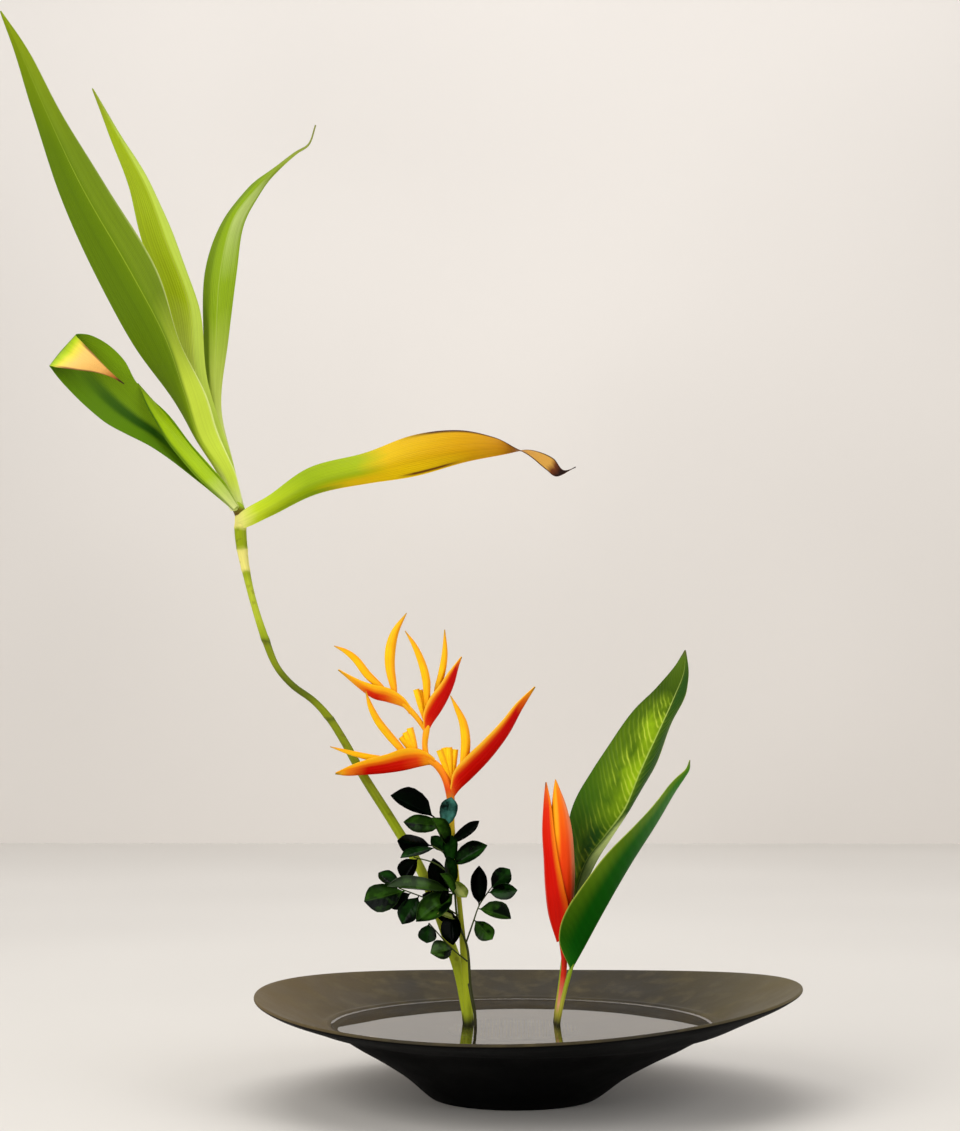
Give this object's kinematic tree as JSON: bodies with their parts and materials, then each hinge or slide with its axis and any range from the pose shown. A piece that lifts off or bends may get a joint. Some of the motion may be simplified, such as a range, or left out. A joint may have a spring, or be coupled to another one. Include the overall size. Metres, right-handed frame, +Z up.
{
  "type": "ikebana arrangement",
  "caption": "Ikebana arrangement: a slanting leafy cane, lobster-claw flowers, broad leaves and a glossy sprig on a needle holder in a wide shallow bowl of water.",
  "frame": {"origin": "centre of the bowl's flat foot, on the surface it stands on", "axes": "+Z up; +X to the viewer's right, towards the broad leaves; -Y towards the front"},
  "size_m": [0.5743, 0.395, 0.7776],
  "materials": {
    "stoneware": "matte charcoal stoneware, lighter worn rim",
    "water": "clear still water",
    "holder_metal": "dull lead block with brass needles",
    "cane": "smooth yellow-green plant stem, pale rings",
    "strap_leaf_green": "satin strap leaf, lime at the base",
    "strap_leaf_yellow": "satin yellowing leaf, brown dry tip",
    "flower_stalk": "satin olive-green stalk",
    "bract": "waxy red to orange bract",
    "flower": "waxy golden-yellow flower",
    "bud": "waxy red and orange bud",
    "broad_leaf": "satin deep-green leaf with fine side veins",
    "twig": "thin olive-brown twig",
    "glossy_leaflet": "glossy blackish-green leaflet"
  },
  "bodies": {
    "root": {"bowl": "stoneware", "bract_left": "bract", "bract_right": "bract", "bract_top_left": "bract", "bract_top_right": "bract", "broad_leaf_back": "broad_leaf", "broad_leaf_front": "broad_leaf", "bud_core": "bud", "bud_outer_bract": "bud", "bud_stem": "flower_stalk", "cane": "cane", "flower_fan_left": "flower", "flower_fan_right": "flower", "flower_fan_top": "flower", "flower_left": "flower", "flower_left_low": "flower", "flower_right": "flower", "flower_stem": "flower_stalk", "flower_top_low": "flower", "flower_top_middle": "flower", "flower_top_right": "flower", "flower_top_tall": "flower", "leaflet_01": "glossy_leaflet", "leaflet_02": "glossy_leaflet", "leaflet_03": "glossy_leaflet", "leaflet_04": "glossy_leaflet", "leaflet_05": "glossy_leaflet", "leaflet_06": "glossy_leaflet", "leaflet_07": "glossy_leaflet", "leaflet_08": "glossy_leaflet", "leaflet_09": "glossy_leaflet", "leaflet_10": "glossy_leaflet", "leaflet_11": "glossy_leaflet", "leaflet_12": "glossy_leaflet", "leaflet_13": "glossy_leaflet", "leaflet_14": "glossy_leaflet", "leaflet_15": "glossy_leaflet", "leaflet_16": "glossy_leaflet", "leaflet_17": "glossy_leaflet", "leaflet_18": "glossy_leaflet", "leaflet_19": "glossy_leaflet", "leaflet_20": "glossy_leaflet", "leaflet_21": "glossy_leaflet", "leaflet_22": "glossy_leaflet", "leaflet_23": "glossy_leaflet", "leaflet_24": "glossy_leaflet", "leaflet_25": "glossy_leaflet", "leaflet_26": "glossy_leaflet", "leaflet_27": "glossy_leaflet", "leaflet_28": "glossy_leaflet", "leaflet_29": "glossy_leaflet", "needle_holder": "holder_metal", "sprig_twigs": "twig", "strap_leaf_curled": "strap_leaf_green", "strap_leaf_folded": "strap_leaf_green", "strap_leaf_long": "strap_leaf_green", "strap_leaf_middle": "strap_leaf_green", "strap_leaf_yellowing": "strap_leaf_yellow", "water": "water"}
  },
  "joints": []
}
